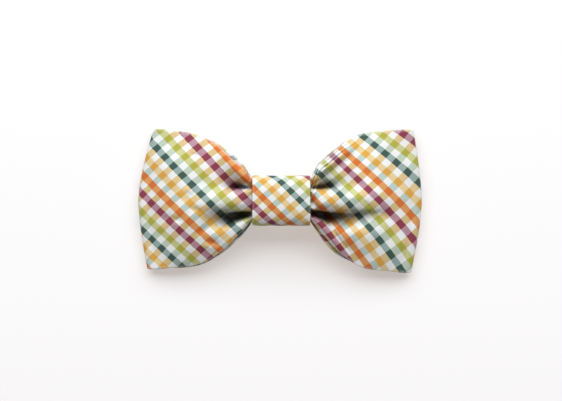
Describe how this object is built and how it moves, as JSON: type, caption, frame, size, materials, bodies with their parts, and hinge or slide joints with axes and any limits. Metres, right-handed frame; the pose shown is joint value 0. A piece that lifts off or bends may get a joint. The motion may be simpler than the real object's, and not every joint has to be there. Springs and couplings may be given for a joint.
{
  "type": "pet bow tie",
  "caption": "Bow tie of check cotton for a pet's collar, a flat loop of cloth gathered by a wrapped knot, with an elastic loop behind.",
  "frame": {"origin": "under the middle of the whole bow, on the surface that it lies on", "axes": "+X to the right as one faces the bow, +Y up its face, +Z out of the face, away from the collar"},
  "size_m": [0.1138, 0.058, 0.0204],
  "materials": {
    "check_cotton": "matt woven cotton check of plum, lime, teal, mustard and orange on white",
    "knot_cotton": "the same matt cotton check",
    "white_elastic": "ribbed woven elastic, off-white"
  },
  "bodies": {
    "root": {"bow_loop": "check_cotton", "knot_band": "knot_cotton", "collar_loop": "white_elastic"}
  },
  "joints": []
}
